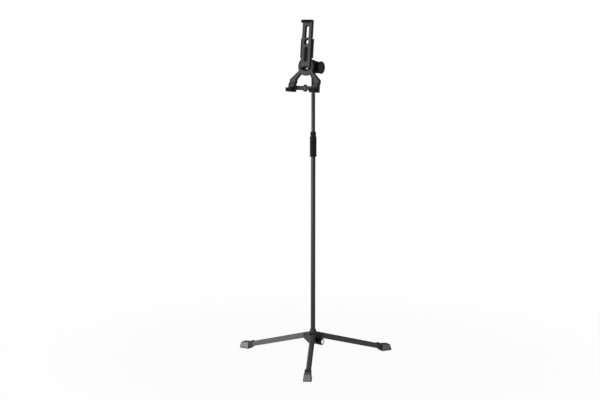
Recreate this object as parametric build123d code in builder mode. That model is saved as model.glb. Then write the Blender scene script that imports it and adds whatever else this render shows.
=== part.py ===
from build123d import *
from math import atan, cos, radians, sin, sqrt
import os

# Adjustable floor stand for a tablet: a folding three-legged base, a telescopic pole with a twist
# clutch, and a tilting, turning holder with two bottom ledges and one hook on a sliding arm.
# Millimetres, +Z up, origin on the floor under the pole axis, holder facing -Y.

os.makedirs("parts", exist_ok=True)

# Clearances and cuts shared by all pieces
overrun = 3.0
running_gap = 0.06
seat_gap = 0.3
loose_gap = 0.3
middle_share = 0.5
outward_share = 0.9
half_turn = 180.0
quarter_turn = 90.0
hexagon_sides = 6

# Pole tubes
lower_tube_od = 18.0
lower_tube_wall = 1.2
lower_tube_top = 850.0
upper_tube_od = 15.0
upper_tube_wall = 1.2
upper_tube_bottom = 340.0
upper_tube_drop = 21.0

# Hub
hub_bottom_drop = 33.0
hub_core_radius = 13.4
hub_core_rise = 16.0
hub_collar_radius = 12.2
hub_collar_tip_radius = 11.0
hub_collar_rise = 24.5
hub_floor_thickness = 4.0
hub_drain_radius = 4.0
cheek_wall = 2.1
cheek_reach = 37.5
cheek_root_width = 9.0
cheek_inner_rise = 13.0
cheek_outer_rise = 6.8
cheek_corner = 4.0
cheek_lip_reach = 34.0
cheek_lip_drop = 16.0
cheek_nose_drop = 10.5
cheek_edge_round = 1.0
leg_slot_start = 17.5

# Legs: bent channels, deeper at the hub than at the foot
leg_directions = {"left": 180.0, "front": -60.0, "right": 60.0}
leg_width = 18.5
leg_sheet = 1.6
leg_depth_hub = 21.4
leg_depth_foot = 19.6
leg_centre_drop = 2.7
leg_centre_height_foot = 15.25
leg_end_inset = 36.0
leg_back_round = 5.5
leg_side_gap = 0.7

# Leg joint
pivot_reach = 33.0
pivot_height = 94.0
pivot_rivet_radius = 3.0
stop_pin_reach = 21.5
stop_pin_rise = 0.5
stop_pin_radius = 3.0
rivet_head_radius = 4.2
rivet_head_height = 1.0
leg_root_heel_radius = 12.8
leg_root_heel_drop = 4.6
friction_washer_radius = 6.0
friction_washer_thickness = 0.5
stop_pin_proud = 0.3
rivet_head_taper = 25.0

# Rubber feet
foot_reach = 345.0
foot_block_length = 44.0
foot_width = 31.6
foot_height_inner = 28.0
foot_height_outer = 25.0
foot_nose_lean = 7.5
foot_nose_round = 5.0
foot_side_lean = 3.4
foot_edge_round = 4.5
foot_sole_round = 1.6
foot_groove_length = 3.6
foot_groove_depth = 2.6
foot_collar_length = 7.5
foot_collar_width = 25.8
foot_collar_cover = 3.2
foot_collar_round = 4.5
foot_grip_gap = 0.1
foot_core_sink = 1.0
foot_plan_round = 4.0

# Clamp knob of the hub
clamp_drop = 21.0
clamp_boss_radius = 12.0
clamp_boss_reach = 21.6
clamp_boss_round = 1.2
clamp_screw_radius = 4.0
pressure_pad_length = 2.8
base_knob_flange_radius = 12.9
base_knob_flange_length = 7.0
base_knob_waist_radius = 10.9
base_knob_waist_length = 3.0
base_knob_head_radius = 13.4
base_knob_head_length = 13.0
base_knob_lobes = 6
base_knob_lobe_cut_radius = 5.2
base_knob_lobe_cut_depth = 1.6
base_knob_edge_round = 1.4
base_cap_radius = 8.6
base_cap_seat_depth = 1.5
base_cap_rise = 2.2
base_cap_mid_share = 0.7
base_knob_screw_depth = 12.0

# Twist clutch
clutch_bottom = 791.5
clutch_flare_radius = 13.5
clutch_flare_height = 7.0
clutch_body_radius = 11.0
clutch_body_top = 858.0
clutch_grip_radius = 12.85
clutch_grip_top = 868.0
clutch_grip_ribs = 30
clutch_grip_rib_depth = 0.45
clutch_grip_rib_share = 0.55
clutch_grip_band = 5.0
clutch_grip_lip = 5.0
clutch_ring_radius = 10.9
clutch_ring_top = 887.0
clutch_ring_lid = 5.0
clutch_edge_round = 1.0
collet_foot_height = 11.0
collet_cone_radius = 9.5
collet_tip_radius = 8.4
collet_step = 0.6
collet_slit = 1.2
collet_slits = 3

# Guide bush under the upper tube
bush_collar_height = 15.0
bush_plug_height = 25.0
bush_plug_wall = 1.8
bush_chamfer = 1.5
tube_plug_flange = 2.0
tube_plug_height = 14.0
tube_plug_wall = 2.2
tube_pin_radius = 1.5
tube_pin_recess = 0.5

# Tilt joint
tilt_axis_height = 1131.0
tilt_lug_radius = 17.0
tilt_lug_left = 13.0
tilt_lug_right = 13.5
tilt_lug_neck_width = 20.0
tilt_plug_depth = 26.0
tilt_head_pin_drop = 12.0
tilt_bolt_radius = 4.0
tilt_bolt_head_radius = 7.2
tilt_bolt_head_height = 5.0
tilt_bolt_socket = 5.0
tilt_bolt_socket_depth = 3.0
tilt_bolt_head_round = 0.8
tilt_bolt_bite = 4.0
tilt_washer_radius = 9.0
tilt_washer_thickness = 1.6
tilt_edge_round = 1.5
friction_disc_thickness = 2.5
friction_disc_radius = 16.5
ear_thickness = 6.5
ear_round_radius = 21.7
ear_front_half_height = 26.6
drum_radius = 21.7
drum_length = 2.6
tilt_knob_neck_radius = 20.8
tilt_knob_neck_length = 5.5
tilt_knob_head_radius = 23.6
tilt_knob_head_length = 7.4
tilt_knob_dish_radius = 17.0
tilt_knob_dish_depth = 0.8
tilt_knob_flutes = 14
tilt_knob_flute_radius = 2.6
tilt_knob_flute_depth = 0.9
tilt_knob_edge_round = 1.6
tilt_insert_across = 12.0
tilt_insert_length = 7.5

# Holder: its face leans back, and the disc's face stands in front of the pole axis
holder_lean = 6.0
face_offset = 51.7
disc_radius = 35.0
disc_thickness = 6.0
disc_edge_round = 1.0

# Turntable behind the disc
turntable_washer_thickness = 0.8
turntable_washer_radius = 29.0
ring_plate_radius = 30.5
ring_plate_thickness = 5.5
ring_plate_edge_round = 0.8
turntable_end_gap = 0.2
turntable_bore_radius = 13.0
turntable_hollow_radius = 9.5
retainer_radius = 15.7
retainer_thickness = 2.4
turntable_screw_radius = 1.1
turntable_screw_head_radius = 1.7
turntable_screw_reach = 11.2
turntable_screw_turn = 90.0
turntable_screw_head_height = 1.3
turntable_screw_depth = 6.0
turntable_screw_count = 3
eye_radius = 6.5
eye_drop = 7.5
eye_pocket_width = 30.0
eye_pocket_height = 13.0
eye_pocket_depth = 4.2

# Guide housing of the arm, measured from the disc centre up along the face
housing_half_width = 25.0
housing_foot = 31.0
housing_top = 104.0
housing_depth = 9.0
neck_half_width = 22.4
neck_depth = 6.0
rail_front = 5.0
arm_half_width = 21.1
arm_side_gap = 0.3
arm_back_gap = 0.3
tongue_height = 1.6
tongue_low = 1.4
tongue_high = 3.4
tongue_gap = 0.2
housing_step = 85.0
housing_corner_round = 2.0

# Sliding arm
arm_foot = -12.0
arm_thin = 4.7
arm_thick = 10.8
arm_thick_start = 105.5
arm_arch_rise = 11.5
arm_top = 174.4
arm_back_round = 4.0
arm_slot_half_width = 8.0
arm_slot_low = 108.0
arm_slot_high = 151.5
arm_hole_radius = 9.2
arm_hole_height = 91.6
arm_groove_low = 14.0
arm_groove_high = 78.0
arm_groove_width = 25.0
arm_groove_floor_width = 5.0
arm_groove_depth = 3.4
arm_tongue_foot = -6.0
arm_tongue_top = 122.0
hook_reach = 17.4
hook_lip = 2.6
hook_roof = 4.0
hook_bend_radius = 8.0
hook_drop = 12.5
hook_pad_thickness = 1.2
hook_pad_inset = 2.0

# Arm brake and rear cover
brake_height = 62.0
brake_pad_radius = 6.5
brake_pad_thickness = 4.2
brake_pocket_gap = 0.15
brake_contact_gap = 0.2
brake_spring_sheet = 0.5
brake_spring_width = 5.0
brake_spring_half_length = 5.5
cover_half_width = 14.0
cover_half_height = 15.0
cover_thickness = 1.5
cover_corner = 3.0
cover_screw_offset = 11.8
cover_screw_radius = 1.4
cover_screw_head_radius = 2.4
cover_screw_head_height = 1.2
cover_screw_depth = 5.0

# A-frame: places across (u) and up (v) on the holder face, and depths (n) in front of the disc face
elbow_outer = 66.5
elbow_outer_height = -50.5
knee_outer = 67.2
knee_height = -60.0
frame_foot = -97.5
frame_inner = 39.0
elbow_inner_height = -51.5
crotch_inner = 17.0
crotch_height = -27.0
shoulder_outer = 30.0
shoulder_height = -16.0
root_inner = 8.0
root_height = -22.0
jog_end_height = -69.0
elbow_front = 3.5
elbow_back = -8.0
lower_front = 10.5
lower_back = -3.5
frame_corner_round = 4.0

# Ledges at the frame's feet
ledge_gap = 14.0
ledge_lip = 3.5
ledge_floor = 5.0
ledge_lip_height = 15.5
ledge_round = 4.5
ledge_pad_thickness = 1.5
ledge_pad_inset = 2.5

# Crossbar
bar_high = -73.5
bar_low = -89.3
bar_front = -3.0
bar_back = -8.5
bar_boss_half_width = 11.0
bar_boss_half_height = 13.3
bar_boss_front = -1.8
bar_boss_shoulder = 4.5
bar_boss_round = 3.5


def keep(builder, name):
    """Name a finished piece and write its file."""
    builder.part.label = name
    export_step(builder.part, "parts/" + name + ".step")


# Values worked out from the sizes above
lower_tube_radius = lower_tube_od / 2
lower_tube_bore = lower_tube_radius - lower_tube_wall
upper_tube_radius = upper_tube_od / 2
upper_tube_bore = upper_tube_radius - upper_tube_wall
upper_tube_top = tilt_axis_height - upper_tube_drop
hub_bore = lower_tube_radius + running_gap
hub_bottom = pivot_height - hub_bottom_drop
hub_core_top = pivot_height + hub_core_rise
hub_collar_top = pivot_height + hub_collar_rise
cheek_top_inner = pivot_height + cheek_inner_rise
cheek_top_outer = pivot_height + cheek_outer_rise
cheek_lip_height = pivot_height - cheek_lip_drop
cheek_nose_height = pivot_height - cheek_nose_drop
stop_pin_height = pivot_height + stop_pin_rise
clamp_height = pivot_height - clamp_drop
leg_centre_height_hub = pivot_height - leg_centre_drop
leg_outer_end = foot_reach - leg_end_inset
leg_half_width = leg_width / 2
slot_half_width = leg_half_width + leg_side_gap
cheek_half_width = slot_half_width + cheek_wall
leg_run = leg_outer_end - pivot_reach
leg_top_hub = leg_centre_height_hub + leg_depth_hub / 2
leg_top_foot = leg_centre_height_foot + leg_depth_foot / 2
leg_base_hub = leg_centre_height_hub - leg_depth_hub / 2
leg_base_foot = leg_centre_height_foot - leg_depth_foot / 2


def leg_plane(direction):
    """Upright plane through the pole axis: x runs outward along the leg, y runs up."""
    turn = radians(direction)
    return Plane(
        origin=(0, 0, 0), x_dir=(cos(turn), sin(turn), 0), z_dir=(sin(turn), -cos(turn), 0)
    )


def leg_top_at(reach):
    """Height of the leg's back at a reach from the pole axis."""
    return leg_top_hub - (leg_top_hub - leg_top_foot) * (reach - pivot_reach) / leg_run


def leg_base_at(reach):
    """Height of the leg's lower edge at a reach from the pole axis."""
    return leg_base_hub - (leg_base_hub - leg_base_foot) * (reach - pivot_reach) / leg_run


# Planes square to the X axis, for the clamp knob and the tilt joint
clamp_plane = Plane(origin=(0, 0, clamp_height), x_dir=(0, 1, 0), z_dir=(1, 0, 0))
tilt_plane = Plane(origin=(0, 0, tilt_axis_height), x_dir=(0, 1, 0), z_dir=(1, 0, 0))

# The holder's face: x runs across, y up along the face, z out of it towards the user
lean = radians(holder_lean)
face_normal = Vector(0, -cos(lean), sin(lean))
tilt_centre = Vector(0, 0, tilt_axis_height)
face_plane = Plane(origin=tilt_centre + face_normal * face_offset, x_dir=(1, 0, 0), z_dir=face_normal)
# Side view of the holder: x runs up along the face, y runs out of it, square to the X axis
face_up = Vector(0, sin(lean), cos(lean))
side_plane = Plane(origin=face_plane.origin, x_dir=face_up, z_dir=face_up.cross(face_normal))


# Hub: core and collar round the tube, three pairs of cheeks, and the boss of the clamp screw
with BuildPart() as hub:
    with BuildSketch(Plane.XZ):
        with BuildLine():
            Polyline(
                (0, hub_bottom),
                (hub_core_radius, hub_bottom),
                (hub_core_radius, hub_core_top),
                (hub_collar_radius, hub_core_top + cheek_edge_round),
                (hub_collar_radius, hub_collar_top - cheek_edge_round),
                (hub_collar_tip_radius, hub_collar_top),
                (0, hub_collar_top),
                close=True,
            )
        make_face()
    revolve(axis=Axis.Z)
    for direction in leg_directions.values():
        with BuildSketch(leg_plane(direction)):
            with BuildLine():
                Polyline(
                    (0, hub_bottom),
                    (cheek_root_width, hub_bottom),
                    (cheek_lip_reach, cheek_lip_height),
                    (cheek_reach, cheek_nose_height),
                    (cheek_reach, cheek_top_outer - cheek_corner),
                    (cheek_reach - cheek_corner, cheek_top_outer),
                    (hub_core_radius, cheek_top_inner),
                    (0, cheek_top_inner),
                    close=True,
                )
            make_face()
        extrude(amount=cheek_half_width, both=True)
    with BuildSketch(clamp_plane):
        Circle(clamp_boss_radius)
    extrude(amount=clamp_boss_reach)
    boss_rim = hub.edges().filter_by(GeomType.CIRCLE).sort_by(Axis.X)[-1]
    fillet(boss_rim, clamp_boss_round)
    # Pockets for the legs, open at the top so that the legs can fold up
    for direction in leg_directions.values():
        with BuildSketch(leg_plane(direction)):
            with BuildLine():
                Polyline(
                    (leg_slot_start, leg_base_at(leg_slot_start) - leg_root_heel_drop),
                    (pivot_reach - leg_root_heel_drop, leg_base_at(pivot_reach) - loose_gap),
                    (pivot_reach, leg_base_at(pivot_reach) - loose_gap),
                    (cheek_reach + overrun, leg_base_at(cheek_reach + overrun) - loose_gap),
                    (cheek_reach + overrun, cheek_top_inner + overrun),
                    (leg_slot_start, cheek_top_inner + overrun),
                    close=True,
                )
            make_face()
        extrude(amount=slot_half_width, both=True, mode=Mode.SUBTRACT)
    # Tube bore with a floor and a drain, the screw's hole, and the holes of the rivets
    with BuildSketch(Plane.XY.offset(hub_bottom + hub_floor_thickness)):
        Circle(hub_bore)
    extrude(amount=hub_collar_top, mode=Mode.SUBTRACT)
    with BuildSketch(Plane.XY.offset(hub_bottom)):
        Circle(hub_drain_radius)
    extrude(amount=hub_floor_thickness, mode=Mode.SUBTRACT)
    with BuildSketch(clamp_plane):
        Circle(clamp_screw_radius + running_gap)
    extrude(amount=clamp_boss_reach + overrun, mode=Mode.SUBTRACT)
    for direction in leg_directions.values():
        with BuildSketch(leg_plane(direction)):
            with Locations((pivot_reach, pivot_height)):
                Circle(pivot_rivet_radius + running_gap)
            with Locations((stop_pin_reach, stop_pin_height)):
                Circle(stop_pin_radius + running_gap)
        extrude(amount=cheek_half_width + overrun, both=True, mode=Mode.SUBTRACT)
keep(hub, "hub_casting")

# Plastic pad between the clamp screw and the tube
pad_start = lower_tube_radius + seat_gap
with BuildPart() as pressure_pad:
    with BuildSketch(clamp_plane.offset(pad_start)):
        Circle(clamp_screw_radius)
    extrude(amount=pressure_pad_length)
keep(pressure_pad, "hub_pressure_pad")

# Clamp screw: a stud that is moulded into the knob
screw_start = pad_start + pressure_pad_length + seat_gap
base_knob_start = clamp_boss_reach + seat_gap
with BuildPart() as clamp_screw:
    with BuildSketch(clamp_plane.offset(screw_start)):
        Circle(clamp_screw_radius)
    extrude(amount=base_knob_start + base_knob_screw_depth - screw_start)
keep(clamp_screw, "hub_clamp_screw")

# Clamp knob: flange, waist and a lobed head with a seat for the cap
base_knob_head_start = base_knob_start + base_knob_flange_length + base_knob_waist_length
base_knob_end = base_knob_head_start + base_knob_head_length
with BuildPart() as base_knob:
    with BuildSketch(clamp_plane.offset(base_knob_start)):
        Circle(base_knob_flange_radius)
    extrude(amount=base_knob_flange_length)
    with BuildSketch(clamp_plane.offset(base_knob_start)):
        Circle(base_knob_waist_radius)
    extrude(amount=base_knob_head_start - base_knob_start)
    with BuildSketch(clamp_plane.offset(base_knob_head_start)):
        Circle(base_knob_head_radius)
    extrude(amount=base_knob_head_length)
    round_edges = base_knob.edges().filter_by(GeomType.CIRCLE)
    rounded_from = (base_knob_waist_radius + base_knob_flange_radius) / 2
    wide_edges = [e for e in round_edges if e.radius > rounded_from]
    fillet(wide_edges, base_knob_edge_round)
    lobe_cut_reach = base_knob_head_radius + base_knob_lobe_cut_radius - base_knob_lobe_cut_depth
    with BuildSketch(clamp_plane.offset(base_knob_head_start)):
        with PolarLocations(lobe_cut_reach, base_knob_lobes):
            Circle(base_knob_lobe_cut_radius)
    extrude(amount=base_knob_head_length, mode=Mode.SUBTRACT)
    with BuildSketch(clamp_plane.offset(base_knob_end - base_cap_seat_depth)):
        Circle(base_cap_radius)
    extrude(amount=base_cap_seat_depth + overrun, mode=Mode.SUBTRACT)
    with BuildSketch(clamp_plane.offset(base_knob_start)):
        Circle(clamp_screw_radius)
    extrude(amount=base_knob_screw_depth, mode=Mode.SUBTRACT)
keep(base_knob, "base_knob")

# Bright domed cap pressed into the knob's end
cap_radius = base_cap_radius - running_gap
cap_dome_radius = (cap_radius**2 + base_cap_rise**2) / (2 * base_cap_rise)
with BuildPart() as base_cap:
    with BuildSketch(Plane.XZ):
        with BuildLine():
            cap_floor = base_knob_end - base_cap_seat_depth
            cap_mid_radius = cap_radius * base_cap_mid_share
            cap_mid_rise = sqrt(cap_dome_radius**2 - cap_mid_radius**2) - (cap_dome_radius - base_cap_rise)
            Line((cap_floor, clamp_height), (cap_floor, clamp_height + cap_radius))
            Line((cap_floor, clamp_height + cap_radius), (base_knob_end, clamp_height + cap_radius))
            ThreePointArc(
                (base_knob_end, clamp_height + cap_radius),
                (base_knob_end + cap_mid_rise, clamp_height + cap_mid_radius),
                (base_knob_end + base_cap_rise, clamp_height),
            )
            Line((base_knob_end + base_cap_rise, clamp_height), (cap_floor, clamp_height))
        make_face()
    revolve(axis=Axis((0, 0, clamp_height), (1, 0, 0)))
keep(base_cap, "base_knob_cap")


def upper_long_edges(builder, plane):
    """The two highest edges that run outward along a leg or foot."""
    outward = builder.edges().filter_by(lambda e: abs((e % middle_share).dot(plane.x_dir)) > outward_share)
    return outward.sort_by(Axis.Z)[-2:]


def leg_slab(plane, start, end, half_width, rise, drop, rounding):
    """Solid between the leg's back raised by rise and its lower edge lowered by drop."""
    with BuildPart() as slab:
        with BuildSketch(plane):
            with BuildLine():
                Polyline(
                    (start, leg_base_at(start) - drop),
                    (end, leg_base_at(end) - drop),
                    (end, leg_top_at(end) + rise),
                    (start, leg_top_at(start) + rise),
                    close=True,
                )
            make_face()
        extrude(amount=half_width, both=True)
        fillet(upper_long_edges(slab, plane), rounding)
    return slab.part


# Legs: channels with a rounded back, open below, and a rounded root between the cheeks
leg_root_radius = (leg_top_hub - pivot_height) * cos(atan((leg_top_hub - leg_top_foot) / leg_run))
leg_root_start = pivot_reach - leg_root_heel_radius - overrun
heel_top = pivot_height - leg_root_heel_drop
heel_low = pivot_height - leg_root_heel_radius - overrun
for side, direction in leg_directions.items():
    plane = leg_plane(direction)
    envelope = leg_slab(plane, leg_root_start, leg_outer_end, leg_half_width, 0, 0, leg_back_round)
    hollow = leg_slab(
        plane,
        leg_root_start - overrun,
        leg_outer_end + overrun,
        leg_half_width - leg_sheet,
        -leg_sheet,
        leg_depth_hub,
        leg_back_round - leg_sheet,
    )
    with BuildPart() as leg:
        with BuildSketch(plane):
            with BuildLine():
                Polyline(
                    (pivot_reach, leg_base_hub),
                    (leg_outer_end, leg_base_foot),
                    (leg_outer_end, leg_top_foot),
                    (pivot_reach, leg_top_hub),
                    close=True,
                )
            make_face()
            with Locations((pivot_reach, pivot_height)):
                Circle(leg_root_radius)
        extrude(amount=leg_half_width, both=True)
        # Heel: a quarter round below the root, cut off under the fixed pin
        with BuildSketch(plane):
            with Locations((pivot_reach, pivot_height)):
                Circle(leg_root_heel_radius)
            with BuildLine():
                Polyline(
                    (leg_root_start, heel_top),
                    (pivot_reach, heel_top),
                    (pivot_reach, heel_low),
                    (leg_root_start, heel_low),
                    close=True,
                )
            make_face(mode=Mode.INTERSECT)
        extrude(amount=leg_half_width, both=True)
        add(envelope, mode=Mode.INTERSECT)
        add(hollow, mode=Mode.SUBTRACT)
        with BuildSketch(plane):
            with Locations((pivot_reach, pivot_height)):
                Circle(pivot_rivet_radius + running_gap)
        extrude(amount=leg_width, both=True, mode=Mode.SUBTRACT)
    keep(leg, "leg_" + side)

# Rubber feet: a block with a rounded nose, a groove and a collar that grips the leg
foot_block_start = foot_reach - foot_block_length
foot_groove_start = foot_block_start - foot_groove_length
foot_collar_start = foot_groove_start - foot_collar_length
foot_half_width = foot_width / 2
foot_collar_half_width = foot_collar_width / 2
groove_cover = foot_collar_cover - foot_groove_depth
for side, direction in leg_directions.items():
    plane = leg_plane(direction)
    collar = leg_slab(
        plane,
        foot_collar_start,
        foot_groove_start,
        foot_collar_half_width,
        foot_collar_cover,
        foot_collar_cover,
        foot_collar_round,
    )
    groove = leg_slab(
        plane,
        foot_groove_start,
        foot_block_start,
        foot_collar_half_width - foot_groove_depth,
        groove_cover,
        groove_cover,
        foot_collar_round,
    )
    pocket = leg_slab(
        plane,
        foot_collar_start - overrun,
        leg_outer_end + foot_grip_gap,
        leg_half_width + foot_grip_gap,
        foot_grip_gap,
        foot_grip_gap,
        leg_back_round + foot_grip_gap,
    )
    core = leg_slab(
        plane,
        foot_collar_start,
        leg_outer_end + foot_collar_cover,
        leg_half_width - leg_sheet - foot_grip_gap,
        -leg_sheet - foot_grip_gap,
        foot_core_sink,
        leg_back_round - leg_sheet - foot_grip_gap,
    )
    with BuildPart() as foot:
        with BuildSketch(plane) as block_side:
            with BuildLine():
                Polyline(
                    (foot_block_start, 0),
                    (foot_reach, 0),
                    (foot_reach - foot_nose_lean, foot_height_outer),
                    (foot_block_start, foot_height_inner),
                    close=True,
                )
            make_face()
            outer_corners = block_side.vertices().sort_by(Axis.X)[-2:]
            fillet(outer_corners[0], foot_nose_round)
            fillet(block_side.vertices().sort_by(Axis.X)[-1], foot_sole_round)
        extrude(amount=foot_half_width, both=True)
        block_foot = plane.from_local_coords((foot_block_start, 0, 0))
        with BuildSketch(Plane(origin=block_foot, x_dir=plane.x_dir, z_dir=(0, 0, 1))) as block_plan:
            Rectangle(2 * foot_block_length, foot_width)
            fillet(block_plan.vertices().group_by(Axis.X)[-1], foot_plan_round)
        extrude(amount=foot_height_inner, mode=Mode.INTERSECT)
        with BuildSketch(Plane(origin=block_foot, x_dir=-plane.z_dir, z_dir=plane.x_dir)) as block_end:
            with BuildLine():
                Polyline(
                    (-foot_half_width, 0),
                    (foot_half_width, 0),
                    (foot_half_width - foot_side_lean, foot_height_inner),
                    (foot_side_lean - foot_half_width, foot_height_inner),
                    close=True,
                )
            make_face()
            fillet(block_end.vertices().group_by(Axis.Y)[-1], foot_edge_round)
        extrude(amount=foot_block_length, mode=Mode.INTERSECT)
        add(collar)
        add(groove)
        add(pocket, mode=Mode.SUBTRACT)
        add(core)
    keep(foot, "foot_" + side)

# Rivets that the legs turn on, with a head outside each cheek
with BuildPart() as pivot_rivets:
    for direction in leg_directions.values():
        plane = leg_plane(direction)
        with BuildSketch(plane):
            with Locations((pivot_reach, pivot_height)):
                Circle(pivot_rivet_radius)
        extrude(amount=cheek_half_width, both=True)
        for cheek_side in (1, -1):
            with BuildSketch(plane.offset(cheek_side * cheek_half_width)):
                with Locations((pivot_reach, pivot_height)):
                    Circle(rivet_head_radius)
            extrude(amount=cheek_side * rivet_head_height, taper=rivet_head_taper)
keep(pivot_rivets, "leg_pivot_rivets")

# Fixed cross pins between the cheeks
with BuildPart() as stop_pins:
    for direction in leg_directions.values():
        plane = leg_plane(direction)
        with BuildSketch(plane):
            with Locations((stop_pin_reach, stop_pin_height)):
                Circle(stop_pin_radius)
        extrude(amount=cheek_half_width + stop_pin_proud, both=True)
keep(stop_pins, "leg_stop_pins")

# Friction washers between each leg and its cheeks
with BuildPart() as friction_washers:
    for direction in leg_directions.values():
        for washer_start in (slot_half_width - friction_washer_thickness, -slot_half_width):
            with BuildSketch(leg_plane(direction).offset(washer_start)):
                with Locations((pivot_reach, pivot_height)):
                    Circle(friction_washer_radius)
                    Circle(pivot_rivet_radius + running_gap, mode=Mode.SUBTRACT)
            extrude(amount=friction_washer_thickness)
keep(friction_washers, "leg_friction_washers")

# Lower tube and the plug in its foot
lower_tube_bottom = hub_bottom + hub_floor_thickness + tube_plug_flange
with BuildPart() as lower_tube:
    with BuildSketch(Plane.XY.offset(lower_tube_bottom)):
        Circle(lower_tube_radius)
        Circle(lower_tube_bore, mode=Mode.SUBTRACT)
    extrude(amount=lower_tube_top - lower_tube_bottom)
keep(lower_tube, "lower_tube")

plug_radius = lower_tube_bore - running_gap
with BuildPart() as tube_plug:
    with BuildSketch(Plane.XY.offset(lower_tube_bottom - tube_plug_flange)):
        Circle(lower_tube_radius - loose_gap)
    extrude(amount=tube_plug_flange)
    with BuildSketch(Plane.XY.offset(lower_tube_bottom)):
        Circle(plug_radius)
    extrude(amount=tube_plug_height)
    with BuildSketch(Plane.XY.offset(lower_tube_bottom)):
        Circle(plug_radius - tube_plug_wall)
    extrude(amount=tube_plug_height, mode=Mode.SUBTRACT)
keep(tube_plug, "lower_tube_plug")

# Clutch body: a sleeve fixed on the lower tube, with a flared ring at its foot
with BuildPart() as clutch_body:
    with BuildSketch(Plane.XZ):
        with BuildLine():
            Polyline(
                (lower_tube_radius + running_gap, clutch_bottom),
                (clutch_flare_radius - clutch_edge_round, clutch_bottom),
                (clutch_flare_radius, clutch_bottom + clutch_edge_round),
                (clutch_flare_radius, clutch_bottom + clutch_flare_height - clutch_edge_round),
                (clutch_flare_radius - clutch_edge_round, clutch_bottom + clutch_flare_height),
                (clutch_body_radius, clutch_bottom + clutch_flare_height),
                (clutch_body_radius, clutch_body_top),
                (lower_tube_radius + running_gap, clutch_body_top),
                close=True,
            )
        make_face()
    revolve(axis=Axis.Z)
keep(clutch_body, "clutch_body")

# Split collet on the tube's rim: a foot, and a cone with three slits round the upper tube
collet_bottom = lower_tube_top
collet_foot_top = collet_bottom + collet_foot_height
collet_top = clutch_ring_top - clutch_ring_lid - seat_gap
collet_bore = upper_tube_radius + running_gap
collet_foot_radius = lower_tube_radius - running_gap
with BuildPart() as collet:
    with BuildSketch(Plane.XZ):
        with BuildLine():
            Polyline(
                (collet_bore, collet_bottom),
                (collet_foot_radius, collet_bottom),
                (collet_foot_radius, collet_foot_top),
                (collet_cone_radius, collet_foot_top + collet_step),
                (collet_tip_radius, collet_top),
                (collet_bore, collet_top),
                close=True,
            )
        make_face()
    revolve(axis=Axis.Z)
    with BuildSketch(Plane.XY.offset(collet_foot_top)):
        with PolarLocations(collet_cone_radius, collet_slits):
            Rectangle(collet_cone_radius, collet_slit)
    extrude(amount=collet_top, mode=Mode.SUBTRACT)
keep(collet, "clutch_collet")

# Ribbed twist grip over the clutch body
clutch_grip_bottom = clutch_bottom + clutch_flare_height + seat_gap
grip_bore = clutch_body_radius + loose_gap
grip_throat = collet_cone_radius + loose_gap
rib_length = clutch_grip_top - clutch_grip_bottom - clutch_grip_band - clutch_grip_lip
rib_pitch = 2 * clutch_grip_radius * sin(radians(half_turn / clutch_grip_ribs))
with BuildPart() as grip:
    with BuildSketch(Plane.XZ):
        with BuildLine():
            Polyline(
                (grip_bore, clutch_grip_bottom),
                (clutch_grip_radius - clutch_edge_round, clutch_grip_bottom),
                (clutch_grip_radius, clutch_grip_bottom + clutch_edge_round),
                (clutch_grip_radius, clutch_grip_top - clutch_edge_round),
                (clutch_grip_radius - clutch_edge_round, clutch_grip_top),
                (grip_throat, clutch_grip_top),
                (grip_throat, clutch_body_top + seat_gap),
                (grip_bore, clutch_body_top + seat_gap),
                close=True,
            )
        make_face()
    revolve(axis=Axis.Z)
    with BuildSketch(Plane.XY.offset(clutch_grip_bottom + clutch_grip_band)):
        with PolarLocations(clutch_grip_radius, clutch_grip_ribs):
            Rectangle(2 * clutch_grip_rib_depth, rib_pitch * (1 - clutch_grip_rib_share))
    extrude(amount=rib_length, mode=Mode.SUBTRACT)
keep(grip, "clutch_grip")

# Ring on top of the grip: it presses the collet's cone
with BuildPart() as top_ring:
    with BuildSketch(Plane.XZ):
        with BuildLine():
            Polyline(
                (collet_cone_radius + seat_gap, clutch_grip_top),
                (clutch_ring_radius, clutch_grip_top),
                (clutch_ring_radius, clutch_ring_top - clutch_edge_round),
                (clutch_ring_radius - clutch_edge_round, clutch_ring_top),
                (upper_tube_radius + loose_gap, clutch_ring_top),
                (upper_tube_radius + loose_gap, clutch_ring_top - clutch_ring_lid),
                (collet_tip_radius + seat_gap, clutch_ring_top - clutch_ring_lid),
                close=True,
            )
        make_face()
    revolve(axis=Axis.Z)
keep(top_ring, "clutch_top_ring")

# Upper tube, with the cross hole of the pin that holds the tilt head
head_pin_height = upper_tube_top - tilt_head_pin_drop
across_tube = Plane(origin=(0, 0, 0), x_dir=(0, 1, 0), z_dir=(1, 0, 0))
with BuildPart() as upper_tube:
    with BuildSketch(Plane.XY.offset(upper_tube_bottom)):
        Circle(upper_tube_radius)
        Circle(upper_tube_bore, mode=Mode.SUBTRACT)
    extrude(amount=upper_tube_top - upper_tube_bottom)
    with BuildSketch(across_tube):
        with Locations((0, head_pin_height)):
            Circle(tube_pin_radius + running_gap)
    extrude(amount=upper_tube_od, both=True, mode=Mode.SUBTRACT)
keep(upper_tube, "upper_tube")

# Guide bush: a collar under the upper tube that slides in the lower tube, and a plug that the tube turns on
bush_plug_radius = upper_tube_bore - running_gap
bush_collar_radius = lower_tube_bore - running_gap
with BuildPart() as bush:
    with BuildSketch(Plane.XZ):
        with BuildLine():
            Polyline(
                (bush_plug_radius - bush_plug_wall, upper_tube_bottom - bush_collar_height),
                (bush_collar_radius - bush_chamfer, upper_tube_bottom - bush_collar_height),
                (bush_collar_radius, upper_tube_bottom - bush_collar_height + bush_chamfer),
                (bush_collar_radius, upper_tube_bottom),
                (bush_plug_radius, upper_tube_bottom),
                (bush_plug_radius, upper_tube_bottom + bush_plug_height),
                (bush_plug_radius - bush_plug_wall, upper_tube_bottom + bush_plug_height),
                close=True,
            )
        make_face()
    revolve(axis=Axis.Z)
keep(bush, "upper_tube_bush")

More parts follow.
